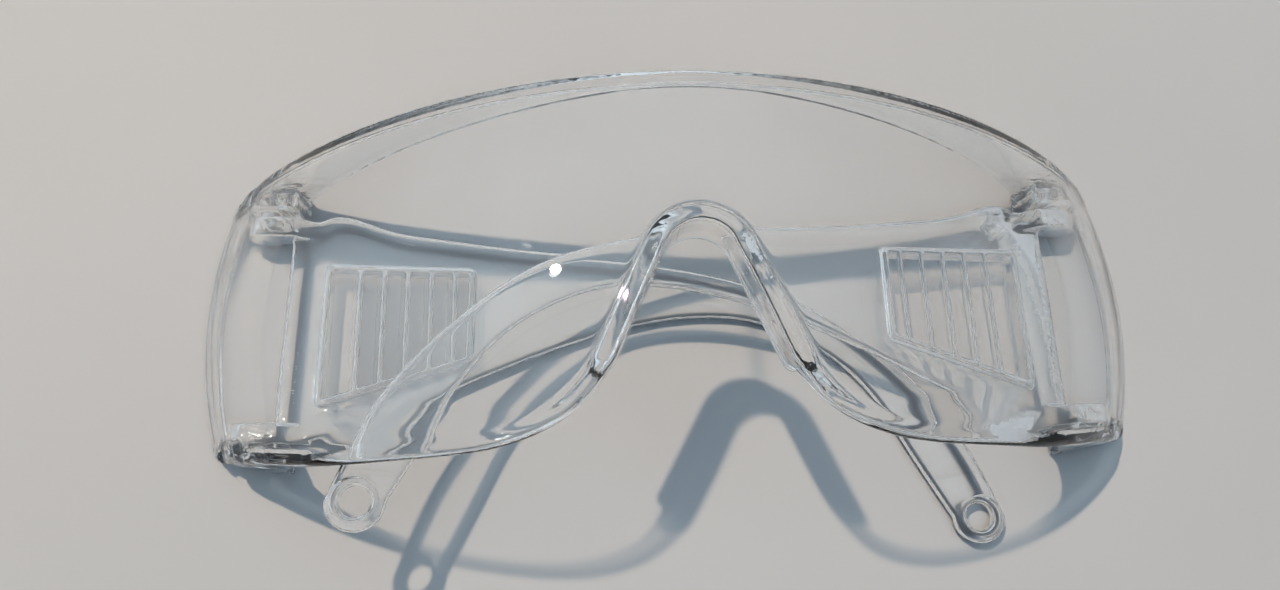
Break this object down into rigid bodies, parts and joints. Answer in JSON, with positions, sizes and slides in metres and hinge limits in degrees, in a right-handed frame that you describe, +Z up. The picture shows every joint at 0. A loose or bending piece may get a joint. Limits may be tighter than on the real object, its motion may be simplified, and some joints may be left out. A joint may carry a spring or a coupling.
{
  "type": "over-spectacles",
  "caption": "Clear wraparound safety over-spectacles lying folded: a one-piece lens shield with a moulded nose bridge and folding temples with louvred side vents.",
  "frame": {"origin": "centre of the bounding box's bottom, on the table that the folded spectacles rest on", "axes": "+Z up, which is forward from the wearer's face; +Y towards the brow; +X towards the wearer's left"},
  "size_m": [0.16, 0.068, 0.0392],
  "materials": {
    "clear_polycarbonate": "clear gloss"
  },
  "bodies": {
    "lens": {"lens_shield": "clear_polycarbonate"},
    "right_arm": {"right_temple": "clear_polycarbonate"},
    "left_arm": {"left_temple": "clear_polycarbonate"}
  },
  "joints": [
    {"name": "right_hinge", "type": "hinge", "parent": "lens", "child": "right_arm", "pos_m": [-0.0697, 0.00533, 0.0034], "axis": [0, 1, 0], "range_deg": [0, 90]},
    {"name": "left_hinge", "type": "hinge", "parent": "lens", "child": "left_arm", "pos_m": [0.0697, 0.00533, 0.0034], "axis": [0, -1, 0], "range_deg": [0, 98.4]}
  ]
}
